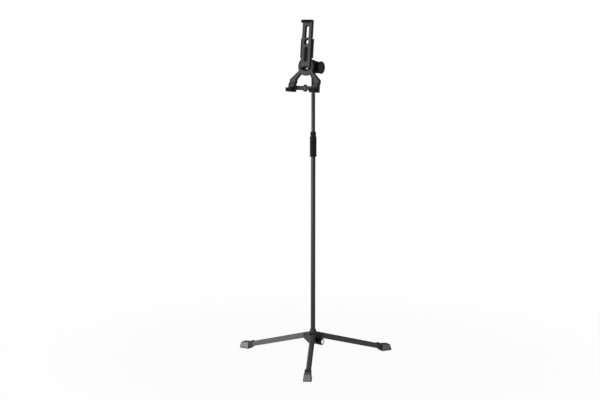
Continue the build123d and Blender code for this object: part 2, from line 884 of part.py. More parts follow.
# Tilt head: a lug with the tilt axis on a collar over the tube's rim, and a plug inside the tube
with BuildPart() as tilt_head:
    with BuildSketch(tilt_plane.offset(-tilt_lug_left)):
        Circle(tilt_lug_radius)
    extrude(amount=tilt_lug_left + tilt_lug_right)
    lug_rims = tilt_head.edges().filter_by(GeomType.CIRCLE)
    fillet(lug_rims, tilt_edge_round)
    with BuildSketch(Plane.XY.offset(upper_tube_top)):
        Circle(tilt_lug_neck_width / 2)
    extrude(amount=tilt_axis_height - upper_tube_top)
    with BuildSketch(Plane.XY.offset(upper_tube_top - tilt_plug_depth)):
        Circle(upper_tube_bore - running_gap)
    extrude(amount=tilt_plug_depth)
    with BuildSketch(tilt_plane.offset(-tilt_lug_left - overrun)):
        Circle(tilt_bolt_radius + running_gap)
    extrude(amount=tilt_lug_left + tilt_lug_right + 2 * overrun, mode=Mode.SUBTRACT)
    with BuildSketch(across_tube):
        with Locations((0, head_pin_height)):
            Circle(tube_pin_radius + running_gap)
    extrude(amount=upper_tube_od, both=True, mode=Mode.SUBTRACT)
keep(tilt_head, "tilt_head")

pin_half_length = upper_tube_radius - tube_pin_recess
with BuildPart() as head_pin:
    with BuildSketch(across_tube):
        with Locations((0, head_pin_height)):
            Circle(tube_pin_radius)
    extrude(amount=pin_half_length, both=True)
keep(head_pin, "tilt_head_pin")

# Tilt bolt with its socket head and washer on the far side of the knob
washer_start = -tilt_lug_left - tilt_washer_thickness
bolt_head_start = washer_start - tilt_bolt_head_height
ear_start = tilt_lug_right + friction_disc_thickness
ear_end = ear_start + ear_thickness
drum_end = ear_end + drum_length
tilt_knob_start = drum_end + seat_gap
tilt_knob_head_start = tilt_knob_start + tilt_knob_neck_length
tilt_knob_end = tilt_knob_head_start + tilt_knob_head_length
with BuildPart() as tilt_bolt:
    with BuildSketch(tilt_plane.offset(bolt_head_start)):
        Circle(tilt_bolt_head_radius)
    extrude(amount=tilt_bolt_head_height)
    fillet(tilt_bolt.edges().filter_by(GeomType.CIRCLE).sort_by(Axis.X)[0], tilt_bolt_head_round)
    with BuildSketch(tilt_plane.offset(washer_start)):
        Circle(tilt_bolt_radius)
    extrude(amount=tilt_knob_head_start + tilt_bolt_bite - washer_start)
    with BuildSketch(tilt_plane.offset(bolt_head_start)):
        RegularPolygon(tilt_bolt_socket / 2, hexagon_sides, major_radius=False)
    extrude(amount=tilt_bolt_socket_depth, mode=Mode.SUBTRACT)
keep(tilt_bolt, "tilt_bolt")

with BuildPart() as tilt_washer:
    with BuildSketch(tilt_plane.offset(washer_start)):
        Circle(tilt_washer_radius)
        Circle(tilt_bolt_radius + running_gap, mode=Mode.SUBTRACT)
    extrude(amount=tilt_washer_thickness)
keep(tilt_washer, "tilt_bolt_washer")

with BuildPart() as friction_disc:
    with BuildSketch(tilt_plane.offset(tilt_lug_right)):
        Circle(friction_disc_radius)
        Circle(tilt_bolt_radius + running_gap, mode=Mode.SUBTRACT)
    extrude(amount=friction_disc_thickness)
keep(friction_disc, "tilt_friction_disc")

# Tilt bracket: a ring plate behind the disc, one side ear and a short drum round the bolt
plate_front = -disc_thickness - turntable_washer_thickness
plate_back = plate_front - ring_plate_thickness
ear_plane = Plane(
    origin=tilt_centre + Vector(ear_start, 0, 0),
    x_dir=face_normal,
    z_dir=(1, 0, 0),
)
ear_front = face_offset + plate_back
with BuildPart() as tilt_bracket:
    with BuildSketch(face_plane.offset(plate_back)):
        Circle(ring_plate_radius)
    extrude(amount=ring_plate_thickness)
    fillet(tilt_bracket.edges().filter_by(GeomType.CIRCLE), ring_plate_edge_round)
    with BuildSketch(ear_plane):
        with BuildLine():
            Polyline(
                (0, ear_round_radius),
                (0, -ear_round_radius),
                (ear_front, -ear_front_half_height),
                (ear_front, ear_front_half_height),
                close=True,
            )
        make_face()
        Circle(ear_round_radius)
    extrude(amount=ear_thickness)
    with BuildSketch(tilt_plane.offset(ear_end)):
        Circle(drum_radius)
    extrude(amount=drum_length)
    with BuildSketch(tilt_plane.offset(ear_start - overrun)):
        Circle(tilt_bolt_radius + running_gap)
    extrude(amount=ear_thickness + drum_length + 2 * overrun, mode=Mode.SUBTRACT)
    with BuildSketch(face_plane.offset(plate_back - overrun)):
        Circle(turntable_bore_radius)
    extrude(amount=ring_plate_thickness + 2 * overrun, mode=Mode.SUBTRACT)
keep(tilt_bracket, "tilt_bracket")

# Tilt knob: neck, fluted head with a slightly domed end, and a hexagonal insert on the bolt
with BuildPart() as tilt_knob:
    with BuildSketch(tilt_plane.offset(tilt_knob_start)):
        Circle(tilt_knob_neck_radius)
    extrude(amount=tilt_knob_neck_length)
    with BuildSketch(tilt_plane.offset(tilt_knob_head_start)):
        Circle(tilt_knob_head_radius)
    extrude(amount=tilt_knob_head_length)
    head_rims = tilt_knob.edges().filter_by(GeomType.CIRCLE)
    wide_rims = head_rims.filter_by(lambda e: e.radius > tilt_knob_neck_radius + running_gap)
    fillet(wide_rims, tilt_knob_edge_round)
    flute_reach = tilt_knob_head_radius + tilt_knob_flute_radius - tilt_knob_flute_depth
    with BuildSketch(tilt_plane.offset(tilt_knob_head_start)):
        with PolarLocations(flute_reach, tilt_knob_flutes):
            Circle(tilt_knob_flute_radius)
    extrude(amount=tilt_knob_head_length, mode=Mode.SUBTRACT)
    with BuildSketch(tilt_plane.offset(tilt_knob_end - tilt_knob_dish_depth)):
        Circle(tilt_knob_dish_radius)
    extrude(amount=tilt_knob_dish_depth, mode=Mode.SUBTRACT)
    with BuildSketch(tilt_plane.offset(tilt_knob_start)):
        Circle(tilt_bolt_radius + loose_gap)
    extrude(amount=tilt_knob_neck_length + tilt_bolt_bite + seat_gap, mode=Mode.SUBTRACT)
    with BuildSketch(tilt_plane.offset(tilt_knob_start)):
        RegularPolygon(tilt_insert_across / 2 + running_gap, hexagon_sides, major_radius=False)
    extrude(amount=tilt_insert_length, mode=Mode.SUBTRACT)
keep(tilt_knob, "tilt_knob")

with BuildPart() as knob_insert:
    with BuildSketch(tilt_plane.offset(tilt_knob_start)):
        RegularPolygon(tilt_insert_across / 2, hexagon_sides, major_radius=False)
        Circle(tilt_bolt_radius + running_gap, mode=Mode.SUBTRACT)
    extrude(amount=tilt_insert_length)
keep(knob_insert, "tilt_knob_insert")

# A-frame: its outline on the face, and its depth as seen from the side
frame_depth_low = -housing_depth - overrun
frame_depth_high = lower_front + overrun
with BuildPart() as a_frame:
    with BuildSketch(face_plane.offset(frame_depth_low)) as a_frame_plan:
        for mirror_side in (1, -1):
            with BuildLine():
                Polyline(
                    (mirror_side * root_inner, root_height),
                    (mirror_side * shoulder_outer, shoulder_height),
                    (mirror_side * elbow_outer, elbow_outer_height),
                    (mirror_side * knee_outer, knee_height),
                    (mirror_side * knee_outer, frame_foot),
                    (mirror_side * frame_inner, frame_foot),
                    (mirror_side * frame_inner, elbow_inner_height),
                    (mirror_side * crotch_inner, crotch_height),
                    close=True,
                )
            make_face()
        low_corners = a_frame_plan.vertices().filter_by(lambda v: v.Y < crotch_height - overrun)
        bend_corners = low_corners.filter_by(lambda v: v.Y > frame_foot + overrun)
        fillet(bend_corners, frame_corner_round)
    extrude(amount=frame_depth_high - frame_depth_low)
    with BuildSketch(side_plane):
        with BuildLine():
            Polyline(
                (0, -disc_thickness),
                (0, 0),
                (crotch_height, 0),
                (elbow_outer_height, elbow_front),
                (knee_height, elbow_front),
                (jog_end_height, lower_front),
                (frame_foot, lower_front),
                (frame_foot, lower_back),
                (jog_end_height, lower_back),
                (knee_height, elbow_back),
                (elbow_outer_height, elbow_back),
                (crotch_height, -disc_thickness),
                close=True,
            )
        make_face()
    extrude(amount=knee_outer + overrun, both=True, mode=Mode.INTERSECT)

# Guide housing of the arm: a plate with two rails, a step in its floor and a see-through hole
arm_back = rail_front - arm_thin
floor_low = arm_back - arm_back_gap
floor_high = rail_front - arm_thick - arm_back_gap
channel_half_width = arm_half_width + arm_side_gap
groove_half_width = arm_half_width + tongue_height + tongue_gap
with BuildPart() as housing:
    with BuildSketch(face_plane.offset(-housing_depth)):
        with Locations((0, (housing_foot + housing_top) / 2)):
            Rectangle(2 * housing_half_width, housing_top - housing_foot)
    extrude(amount=housing_depth + rail_front)
    corner_edges = housing.edges().filter_by(lambda e: abs(e.length - housing_depth - rail_front) < overrun)
    fillet(corner_edges, housing_corner_round)
    with BuildSketch(face_plane.offset(floor_low)):
        with Locations((0, (housing_foot + housing_top) / 2)):
            Rectangle(2 * channel_half_width, housing_top - housing_foot + 2 * overrun)
    extrude(amount=rail_front - floor_low + overrun, mode=Mode.SUBTRACT)
    with BuildSketch(face_plane.offset(floor_high)):
        with Locations((0, (housing_step + housing_top + overrun) / 2)):
            Rectangle(2 * channel_half_width, housing_top + overrun - housing_step)
    extrude(amount=floor_low - floor_high + overrun, mode=Mode.SUBTRACT)
    with BuildSketch(face_plane.offset(tongue_low - tongue_gap)):
        with Locations((0, (housing_foot + housing_top) / 2)):
            Rectangle(2 * groove_half_width, housing_top - housing_foot + 2 * overrun)
    extrude(amount=tongue_high - tongue_low + 2 * tongue_gap, mode=Mode.SUBTRACT)

# Holder frame in one piece: disc, turntable boss, neck, housing, A-frame, ledges and crossbar
boss_radius = turntable_bore_radius - running_gap
boss_end = plate_back - turntable_end_gap
leg_middle = (frame_inner + knee_outer) / 2
leg_span = knee_outer - frame_inner
ledge_front = lower_front + ledge_gap + ledge_lip
bar_middle = (bar_high + bar_low) / 2
with BuildPart() as holder_frame:
    with BuildSketch(face_plane.offset(-disc_thickness)):
        Circle(disc_radius)
    extrude(amount=disc_thickness)
    fillet(holder_frame.edges().filter_by(GeomType.CIRCLE), disc_edge_round)
    with BuildSketch(face_plane.offset(-disc_thickness)):
        with Locations((0, (housing_foot + disc_radius / 2) / 2)):
            Rectangle(2 * neck_half_width, housing_foot - disc_radius / 2)
    extrude(amount=neck_depth)
    add(a_frame.part)
    add(housing.part)
    # Crossbar behind the two lower legs, with a rounded boss in its middle
    with BuildSketch(face_plane.offset(bar_back)):
        with Locations((0, bar_middle)):
            Rectangle(2 * leg_middle, bar_high - bar_low)
    extrude(amount=bar_front - bar_back)
    with BuildSketch(face_plane.offset(bar_back)) as bar_boss:
        with BuildLine():
            Polyline(
                (bar_boss_half_width, bar_middle),
                (bar_boss_shoulder, bar_middle + bar_boss_half_height),
                (-bar_boss_shoulder, bar_middle + bar_boss_half_height),
                (-bar_boss_half_width, bar_middle),
                (-bar_boss_shoulder, bar_middle - bar_boss_half_height),
                (bar_boss_shoulder, bar_middle - bar_boss_half_height),
                close=True,
            )
        make_face()
        fillet(bar_boss.vertices(), bar_boss_round)
    extrude(amount=bar_boss_front - bar_back)
    # Ledges with an upright lip
    for mirror_side in (1, -1):
        with BuildSketch(face_plane.offset(lower_front)) as ledge_plan:
            with Locations((mirror_side * leg_middle, frame_foot + ledge_floor / 2)):
                Rectangle(leg_span, ledge_floor)
            floor_corner = ledge_plan.vertices().group_by(Axis.Y)[0].sort_by(lambda v: abs(v.X))[-1]
            fillet(floor_corner, ledge_round)
        extrude(amount=ledge_front - lower_front)
        with BuildSketch(face_plane.offset(ledge_front - ledge_lip)) as lip_plan:
            with Locations((mirror_side * leg_middle, frame_foot + ledge_lip_height / 2)):
                Rectangle(leg_span, ledge_lip_height)
            lip_corner = lip_plan.vertices().group_by(Axis.Y)[0].sort_by(lambda v: abs(v.X))[-1]
            fillet(lip_corner, ledge_round)
        extrude(amount=ledge_lip)
    with BuildSketch(face_plane.offset(boss_end)):
        Circle(boss_radius)
    extrude(amount=-disc_thickness - boss_end)
    with BuildSketch(face_plane.offset(boss_end)):
        Circle(turntable_hollow_radius)
    extrude(amount=-disc_thickness - boss_end, mode=Mode.SUBTRACT)
    # See-through eye, the arm's round hole, the brake's pocket and the screws' holes
    with BuildSketch(face_plane.offset(-housing_depth - overrun)):
        with Locations((0, -eye_drop)):
            Circle(eye_radius)
        with Locations((0, arm_hole_height)):
            Circle(arm_hole_radius)
        with Locations((0, brake_height)):
            Circle(brake_pad_radius + brake_pocket_gap)
    extrude(amount=housing_depth + rail_front + overrun, mode=Mode.SUBTRACT)
    with BuildSketch(face_plane.offset(-eye_pocket_depth)):
        with Locations((0, -eye_drop)):
            SlotOverall(eye_pocket_width, eye_pocket_height)
    extrude(amount=eye_pocket_depth, mode=Mode.SUBTRACT)
    with BuildSketch(face_plane.offset(boss_end)):
        with PolarLocations(turntable_screw_reach, turntable_screw_count, start_angle=turntable_screw_turn):
            Circle(turntable_screw_radius + running_gap)
    extrude(amount=turntable_screw_depth, mode=Mode.SUBTRACT)
    with BuildSketch(face_plane.offset(-housing_depth)):
        with Locations((0, brake_height + cover_screw_offset), (0, brake_height - cover_screw_offset)):
            Circle(cover_screw_radius + running_gap)
    extrude(amount=cover_screw_depth, mode=Mode.SUBTRACT)
keep(holder_frame, "holder_frame")

# Turntable: a slip washer, and a retaining ring with three screws behind the ring plate
with BuildPart() as turntable_washer:
    with BuildSketch(face_plane.offset(plate_front)):
        Circle(turntable_washer_radius)
        Circle(turntable_bore_radius, mode=Mode.SUBTRACT)
    extrude(amount=turntable_washer_thickness)
keep(turntable_washer, "turntable_washer")

retainer_back = boss_end - retainer_thickness
with BuildPart() as retainer:
    with BuildSketch(face_plane.offset(retainer_back)):
        Circle(retainer_radius)
        Circle(turntable_hollow_radius, mode=Mode.SUBTRACT)
        with PolarLocations(turntable_screw_reach, turntable_screw_count, start_angle=turntable_screw_turn):
            Circle(turntable_screw_radius + running_gap, mode=Mode.SUBTRACT)
    extrude(amount=retainer_thickness)
keep(retainer, "turntable_retainer")

with BuildPart() as turntable_screws:
    with BuildSketch(face_plane.offset(retainer_back - turntable_screw_head_height)):
        with PolarLocations(turntable_screw_reach, turntable_screw_count, start_angle=turntable_screw_turn):
            Circle(turntable_screw_head_radius)
    extrude(amount=turntable_screw_head_height)
    with BuildSketch(face_plane.offset(retainer_back)):
        with PolarLocations(turntable_screw_reach, turntable_screw_count, start_angle=turntable_screw_turn):
            Circle(turntable_screw_radius)
    extrude(amount=retainer_thickness + turntable_screw_depth - seat_gap)
keep(turntable_screws, "turntable_screws")

# Sliding arm: a thin plate over the disc, a thicker upper part with a slot, and the hook
hook_under = arm_top - hook_roof
hook_lip_back = hook_reach - hook_lip
groove_middle = (arm_groove_low + arm_groove_high) / 2
groove_length = arm_groove_high - arm_groove_low
groove_floor_length = groove_length - arm_groove_width + arm_groove_floor_width
with BuildPart() as arm:
    with BuildSketch(face_plane.offset(arm_back)):
        with BuildLine():
            Polyline(
                (-arm_half_width, arm_foot),
                (-arm_half_width, arm_top),
                (arm_half_width, arm_top),
                (arm_half_width, arm_foot),
            )
            ThreePointArc(
                (arm_half_width, arm_foot),
                (0, arm_foot + arm_arch_rise),
                (-arm_half_width, arm_foot),
            )
        make_face()
    extrude(amount=arm_thin)
    with BuildSketch(face_plane.offset(rail_front - arm_thick)):
        with Locations((0, (arm_thick_start + arm_top) / 2)):
            Rectangle(2 * arm_half_width, arm_top - arm_thick_start)
    extrude(amount=arm_thick)
    with BuildSketch(side_plane) as hook_side:
        with BuildLine():
            Polyline(
                (arm_top - hook_roof - hook_bend_radius, rail_front),
                (arm_top - hook_roof, rail_front),
                (arm_top - hook_roof, hook_reach - hook_lip),
                (arm_top - hook_drop, hook_reach - hook_lip),
                (arm_top - hook_drop, hook_reach),
                (arm_top, hook_reach),
                (arm_top, rail_front - hook_roof),
                (arm_top - hook_roof - hook_bend_radius, rail_front - hook_roof),
                close=True,
            )
        make_face()
        outer_bend = hook_side.vertices().sort_by(Axis.X).group_by(Axis.X)[-1].sort_by(Axis.Y)[-1]
        fillet(outer_bend, hook_bend_radius)
    extrude(amount=arm_half_width, both=True)
    back_edges = arm.edges().filter_by(Axis.X).group_by(Axis.Y)[-1]
    fillet(back_edges.sort_by(Axis.Z)[-1], arm_back_round)
    # Side tongues that run in the rails' grooves
    with BuildSketch(face_plane.offset(tongue_low)):
        with Locations((0, (arm_tongue_foot + arm_tongue_top) / 2)):
            Rectangle(2 * (arm_half_width + tongue_height), arm_tongue_top - arm_tongue_foot)
    extrude(amount=tongue_high - tongue_low)
    # Front trough with sloping sides, round hole and long slot
    with BuildSketch(face_plane.offset(rail_front)):
        with Locations((0, groove_middle)):
            SlotOverall(groove_length, arm_groove_width, rotation=quarter_turn)
    with BuildSketch(face_plane.offset(rail_front - arm_groove_depth)):
        with Locations((0, groove_middle)):
            SlotOverall(groove_floor_length, arm_groove_floor_width, rotation=quarter_turn)
    loft(mode=Mode.SUBTRACT)
    with BuildSketch(face_plane.offset(rail_front - arm_thick - overrun)):
        with Locations((0, arm_hole_height)):
            Circle(arm_hole_radius)
        with Locations((0, (arm_slot_low + arm_slot_high - arm_slot_half_width) / 2)):
            Rectangle(2 * arm_slot_half_width, arm_slot_high - arm_slot_half_width - arm_slot_low)
        with Locations((0, arm_slot_high - arm_slot_half_width)):
            Circle(arm_slot_half_width)
    extrude(amount=arm_thick + 2 * overrun, mode=Mode.SUBTRACT)
    # Pocket in the hook's roof for its rubber pad
    with BuildSketch(side_plane):
        with BuildLine():
            Polyline(
                (hook_under, rail_front + hook_pad_inset),
                (hook_under + hook_pad_thickness, rail_front + hook_pad_inset),
                (hook_under + hook_pad_thickness, hook_lip_back),
                (hook_under, hook_lip_back),
                close=True,
            )
        make_face()
    extrude(amount=arm_half_width - hook_pad_inset, both=True, mode=Mode.SUBTRACT)
keep(arm, "slider_arm")

with BuildPart() as hook_pad:
    with BuildSketch(side_plane):
        with BuildLine():
            Polyline(
                (hook_under, rail_front + hook_pad_inset),
                (hook_under + hook_pad_thickness, rail_front + hook_pad_inset),
                (hook_under + hook_pad_thickness, hook_lip_back),
                (arm_top - hook_drop + hook_pad_inset, hook_lip_back),
                (arm_top - hook_drop + hook_pad_inset, hook_lip_back - hook_pad_thickness),
                (hook_under, hook_lip_back - hook_pad_thickness),
                close=True,
            )
        make_face()
    extrude(amount=arm_half_width - hook_pad_inset, both=True)
keep(hook_pad, "hook_pad")

# Pads on the ledges' floors
for pad_side, mirror_side in (("left", -1), ("right", 1)):
    with BuildPart() as ledge_pad:
        with BuildSketch(face_plane.offset(lower_front)):
            with Locations((mirror_side * leg_middle, frame_foot + ledge_floor + ledge_pad_thickness / 2)):
                Rectangle(leg_span - 2 * ledge_pad_inset, ledge_pad_thickness)
        extrude(amount=ledge_gap)
    keep(ledge_pad, "ledge_pad_" + pad_side)

# Brake of the arm: a round pad, a bent leaf spring and the cover with its screws
pad_front = arm_back - brake_contact_gap
pad_back = pad_front - brake_pad_thickness
with BuildPart() as brake_pad:
    with BuildSketch(face_plane.offset(pad_back)):
        with Locations((0, brake_height)):
            Circle(brake_pad_radius)
    extrude(amount=brake_pad_thickness)
keep(brake_pad, "arm_brake_pad")

with BuildPart() as brake_spring:
    with BuildSketch(side_plane):
        with BuildLine():
            ThreePointArc(
                (brake_height - brake_spring_half_length, -housing_depth),
                (brake_height, pad_back),
                (brake_height + brake_spring_half_length, -housing_depth),
            )
            Line(
                (brake_height + brake_spring_half_length, -housing_depth),
                (brake_height + brake_spring_half_length - brake_spring_sheet, -housing_depth),
            )
            ThreePointArc(
                (brake_height + brake_spring_half_length - brake_spring_sheet, -housing_depth),
                (brake_height, pad_back - brake_spring_sheet),
                (brake_height - brake_spring_half_length + brake_spring_sheet, -housing_depth),
            )
            Line(
                (brake_height - brake_spring_half_length + brake_spring_sheet, -housing_depth),
                (brake_height - brake_spring_half_length, -housing_depth),
            )
        make_face()
    extrude(amount=brake_spring_width / 2, both=True)
keep(brake_spring, "arm_brake_spring")

cover_back = -housing_depth - cover_thickness
with BuildPart() as cover:
    with BuildSketch(face_plane.offset(cover_back)) as cover_plan:
        with Locations((0, brake_height)):
            Rectangle(2 * cover_half_width, 2 * cover_half_height)
        fillet(cover_plan.vertices(), cover_corner)
        with Locations((0, brake_height + cover_screw_offset), (0, brake_height - cover_screw_offset)):
            Circle(cover_screw_radius + running_gap, mode=Mode.SUBTRACT)
    extrude(amount=cover_thickness)
keep(cover, "guide_cover")

with BuildPart() as cover_screws:
    with BuildSketch(face_plane.offset(cover_back - cover_screw_head_height)):
        with Locations((0, brake_height + cover_screw_offset), (0, brake_height - cover_screw_offset)):
            Circle(cover_screw_head_radius)
    extrude(amount=cover_screw_head_height)
    with BuildSketch(face_plane.offset(cover_back)):
        with Locations((0, brake_height + cover_screw_offset), (0, brake_height - cover_screw_offset)):
            Circle(cover_screw_radius)
    extrude(amount=cover_thickness + cover_screw_depth - seat_gap)
keep(cover_screws, "guide_cover_screws")
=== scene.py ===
from math import cos, pi, radians, sin

import bpy
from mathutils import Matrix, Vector

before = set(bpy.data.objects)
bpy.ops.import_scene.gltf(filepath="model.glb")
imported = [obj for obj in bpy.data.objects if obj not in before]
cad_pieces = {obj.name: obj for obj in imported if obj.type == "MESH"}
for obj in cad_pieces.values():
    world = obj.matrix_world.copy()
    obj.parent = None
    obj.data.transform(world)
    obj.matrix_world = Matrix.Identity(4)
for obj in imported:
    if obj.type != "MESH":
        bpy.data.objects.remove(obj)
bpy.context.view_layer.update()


# Hub: a die-cast block in semi-matt black enamel. It holds the legs between its three pairs of cheeks,
# and one screw clamps it round the lower tube. Its grain, rubbed edges, painted shade in creases and dust
# are effects that the other painted and moulded pieces share.
def feed(tree, value, socket):
    """Link a socket to another one, or set it to a plain value."""
    if isinstance(value, bpy.types.NodeSocket):
        tree.links.new(value, socket)
    else:
        socket.default_value = value


def combine(tree, operation, first, second):
    """Work out one number from two."""
    step = tree.nodes.new("ShaderNodeMath")
    step.operation = operation
    feed(tree, first, step.inputs[0])
    feed(tree, second, step.inputs[1])
    return step.outputs[0]


def rescale(tree, value, start=0.0, end=1.0, low=0.0, high=1.0):
    """Turn the range from start to end into the range from low to high, and hold it at both ends."""
    step = tree.nodes.new("ShaderNodeMapRange")
    step.inputs["From Min"].default_value = start
    step.inputs["From Max"].default_value = end
    step.inputs["To Min"].default_value = low
    step.inputs["To Max"].default_value = high
    tree.links.new(value, step.inputs["Value"])
    return step.outputs[0]


def speckle(tree, place, scale, detail, roughness=0.5):
    """Random spots that stay with the piece. The scale is about one over their size in metres."""
    noise = tree.nodes.new("ShaderNodeTexNoise")
    noise.inputs["Detail"].default_value = detail
    noise.inputs["Roughness"].default_value = roughness
    tree.links.new(place, noise.inputs["Vector"])
    feed(tree, scale, noise.inputs["Scale"])
    return noise.outputs["Fac"]


def start_effect(name, settings, results):
    """A shader node group: its named inputs with their usual values, and its named outputs."""
    effect = bpy.data.node_groups.new(name, "ShaderNodeTree")
    for label, usual in settings.items():
        entry = effect.interface.new_socket(label, in_out="INPUT", socket_type="NodeSocketFloat")
        entry.default_value = usual
    for label, kind in results.items():
        effect.interface.new_socket(label, in_out="OUTPUT", socket_type=kind)
    return effect, effect.nodes.new("NodeGroupInput").outputs, effect.nodes.new("NodeGroupOutput").inputs


def make_grain_effect():
    """Fine bumps, and slow changes of tone and gloss, of any moulded or sprayed surface."""
    effect, given, result = start_effect(
        "Moulded grain",
        {"Grain size": 0.0006, "Patch size": 0.03},
        {"Height": "NodeSocketFloat", "Variation": "NodeSocketFloat"},
    )
    place = effect.nodes.new("ShaderNodeTexCoord").outputs["Object"]
    grain_scale = combine(effect, "DIVIDE", 1.0, given["Grain size"])
    patch_scale = combine(effect, "DIVIDE", 1.0, given["Patch size"])
    effect.links.new(speckle(effect, place, grain_scale, detail=3.0, roughness=0.6), result["Height"])
    effect.links.new(speckle(effect, place, patch_scale, detail=4.0), result["Variation"])
    return effect


def make_edge_effect():
    """Outer edges, whole for painted rim shade or broken up by rubbing, and each edge's rounded normal.
    """
    rounding = 0.0006
    solid_at_edge_start, solid_at_full_edge = 0.99, 0.75
    rubbing_starts, rubbed_through = 0.52, 0.68
    effect, given, result = start_effect(
        "Edge wear and shade",
        {"Width": 0.0008, "Breakup size": 0.006},
        {"Edge": "NodeSocketFloat", "Worn": "NodeSocketFloat", "Normal": "NodeSocketVector"},
    )
    rounded = effect.nodes.new("ShaderNodeBevel")
    rounded.samples = 4
    rounded.inputs["Radius"].default_value = rounding
    inward = effect.nodes.new("ShaderNodeAmbientOcclusion")
    inward.inside = True
    inward.only_local = True
    inward.samples = 8
    effect.links.new(given["Width"], inward.inputs["Distance"])
    # The whole edge mask: some materials use it for painted shade along thin rims and lips.
    edge = rescale(effect, inward.outputs["AO"], start=solid_at_edge_start, end=solid_at_full_edge)
    place = effect.nodes.new("ShaderNodeTexCoord").outputs["Object"]
    breakup_scale = combine(effect, "DIVIDE", 1.0, given["Breakup size"])
    breakup = speckle(effect, place, breakup_scale, detail=5.0)
    rubbed = rescale(effect, breakup, start=rubbing_starts, end=rubbed_through)
    effect.links.new(edge, result["Edge"])
    effect.links.new(combine(effect, "MULTIPLY", edge, rubbed), result["Worn"])
    effect.links.new(rounded.outputs["Normal"], result["Normal"])
    return effect


def make_crease_effect():
    """Painted shade in grooves and inner corners, made patchy by noise."""
    open_at_groove_start, open_in_full_groove = 0.9, 0.45
    shade_patch_scale = 180.0
    shade_patch_thin, shade_patch_full, thinnest_shade = 0.3, 0.6, 0.7
    effect, given, result = start_effect(
        "Crease shade",
        {"Reach": 0.006},
        {"Crease": "NodeSocketFloat"},
    )
    outward = effect.nodes.new("ShaderNodeAmbientOcclusion")
    outward.samples = 8
    effect.links.new(given["Reach"], outward.inputs["Distance"])
    # Painted shade: darker where the surface is hemmed in by grooves and inner corners.
    groove = rescale(effect, outward.outputs["AO"], start=open_at_groove_start, end=open_in_full_groove)
    place = effect.nodes.new("ShaderNodeTexCoord").outputs["Object"]
    shade_patches = speckle(effect, place, shade_patch_scale, detail=4.0)
    patchy = rescale(effect, shade_patches, start=shade_patch_thin, end=shade_patch_full, low=thinnest_shade)
    effect.links.new(combine(effect, "MULTIPLY", groove, patchy), result["Crease"])
    return effect


def make_dust_effect():
    """A thin uneven film of dust on faces that look up."""
    steepest, level = 0.4, 1.0
    dust_scale = 220.0
    effect, given, result = start_effect(
        "Fine dust",
        {"Amount": 0.2},
        {"Dust": "NodeSocketFloat"},
    )
    surface = effect.nodes.new("ShaderNodeNewGeometry")
    facing = effect.nodes.new("ShaderNodeSeparateXYZ")
    effect.links.new(surface.outputs["Normal"], facing.inputs[0])
    upward = rescale(effect, facing.outputs["Z"], start=steepest, end=level)
    place = effect.nodes.new("ShaderNodeTexCoord").outputs["Object"]
    film = combine(effect, "MULTIPLY", upward, speckle(effect, place, dust_scale, detail=6.0))
    effect.links.new(combine(effect, "MULTIPLY", film, given["Amount"]), result["Dust"])
    return effect


grain_effect = make_grain_effect()
edge_effect = make_edge_effect()
crease_effect = make_crease_effect()
dust_effect = make_dust_effect()


def place_effect(tree, effect, settings):
    """Put an effect in a material, with that material's own values."""
    placed = tree.nodes.new("ShaderNodeGroup")
    placed.node_tree = effect
    for label, value in settings.items():
        placed.inputs[label].default_value = value
    return placed.outputs


def blend(tree, amount, under, over):
    """Lay one colour over another where the mask says so."""
    mix = tree.nodes.new("ShaderNodeMixRGB")
    tree.links.new(amount, mix.inputs["Fac"])
    feed(tree, under, mix.inputs["Color1"])
    feed(tree, over, mix.inputs["Color2"])
    return mix.outputs["Color"]


def raise_relief(tree, shader, height, depth, rounded=None):
    """Give the surface fine bumps, on its own normal or on one with rounded edges."""
    relief = tree.nodes.new("ShaderNodeBump")
    relief.inputs["Distance"].default_value = depth
    tree.links.new(height, relief.inputs["Height"])
    if rounded is not None:
        tree.links.new(rounded, relief.inputs["Normal"])
    tree.links.new(relief.outputs["Normal"], shader.inputs["Normal"])


def start_material(name):
    """A new material with the plain shader that it starts from."""
    material = bpy.data.materials.new(name)
    material.use_nodes = True
    return material, material.node_tree, material.node_tree.nodes["Principled BSDF"]


def coating(
    name,
    dark,
    light,
    roughness,
    sheen,
    grain_size,
    patch_size,
    bump,
    edge_width,
    edge_wear_and_shade_tone,
    edge_mask,
    dust,
):
    """Painted or moulded surface: patchy tones, grain, toned edges, painted crease shade, a little dust.

    The edge mask is "Worn" where rubbing has broken up and rounded the edges, and "Edge" where painted
    shade darkens thin rims and lips along their whole length.
    """
    breakup_size = 0.006
    crease_reach = 0.006
    crease_shade_tone = (0.004, 0.004, 0.004)
    dust_tone = (0.32, 0.31, 0.29)
    material, tree, shader = start_material(name)
    shader.inputs["Specular IOR Level"].default_value = sheen
    grain = place_effect(tree, grain_effect, {"Grain size": grain_size, "Patch size": patch_size})
    edges = place_effect(tree, edge_effect, {"Width": edge_width, "Breakup size": breakup_size})
    grooves = place_effect(tree, crease_effect, {"Reach": crease_reach})
    film = place_effect(tree, dust_effect, {"Amount": dust})
    tone = blend(tree, grain["Variation"], (*dark, 1.0), (*light, 1.0))
    # Edges: wear with the "Worn" mask, painted shade along thin rims and lips with the "Edge" mask.
    tone = blend(tree, edges[edge_mask], tone, (*edge_wear_and_shade_tone, 1.0))
    # Painted shade in grooves and inner corners, darker where the surface is hemmed in.
    tone = blend(tree, grooves["Crease"], tone, (*crease_shade_tone, 1.0))
    tone = blend(tree, film["Dust"], tone, (*dust_tone, 1.0))
    tree.links.new(tone, shader.inputs["Base Color"])
    gloss = rescale(tree, grain["Variation"], low=roughness[0], high=roughness[1])
    tree.links.new(gloss, shader.inputs["Roughness"])
    rounded = edges["Normal"] if edge_mask == "Worn" else None
    raise_relief(tree, shader, grain["Height"], bump, rounded)
    return material


def paint(material, *names):
    """Give pieces of the CAD model that material."""
    for name in names:
        for slot in cad_pieces[name].material_slots:
            slot.material = material


